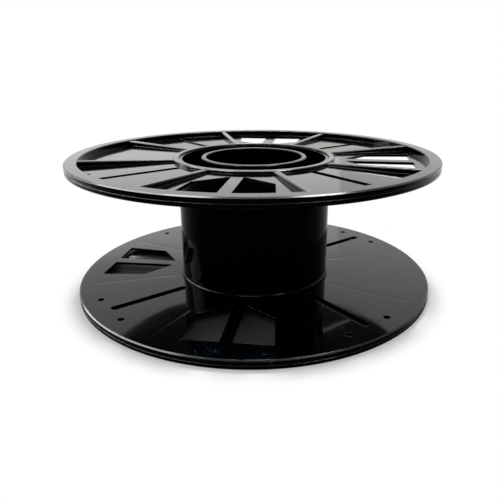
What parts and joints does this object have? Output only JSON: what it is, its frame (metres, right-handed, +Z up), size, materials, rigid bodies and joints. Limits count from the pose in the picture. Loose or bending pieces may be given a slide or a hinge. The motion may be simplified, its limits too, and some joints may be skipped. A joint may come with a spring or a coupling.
{
  "type": "empty filament spool",
  "caption": "Empty plastic spool for 3D-printer filament: ribbed, windowed flanges on a hollow drum with a through bore, standing on one flange.",
  "frame": {"origin": "centre of the circle that the lower flange's rim stands on, at the bottom of the spool", "axes": "+Z up along the spool's axis, from the lower flange to the upper one; -Y faces the viewer in the picture"},
  "size_m": [0.2, 0.2, 0.0744],
  "materials": {
    "flange_plastic": "glossy, moulded",
    "core_plastic": "glossy, moulded"
  },
  "bodies": {
    "root": {"lower_flange": "flange_plastic", "core": "core_plastic", "upper_flange": "flange_plastic"}
  },
  "joints": []
}
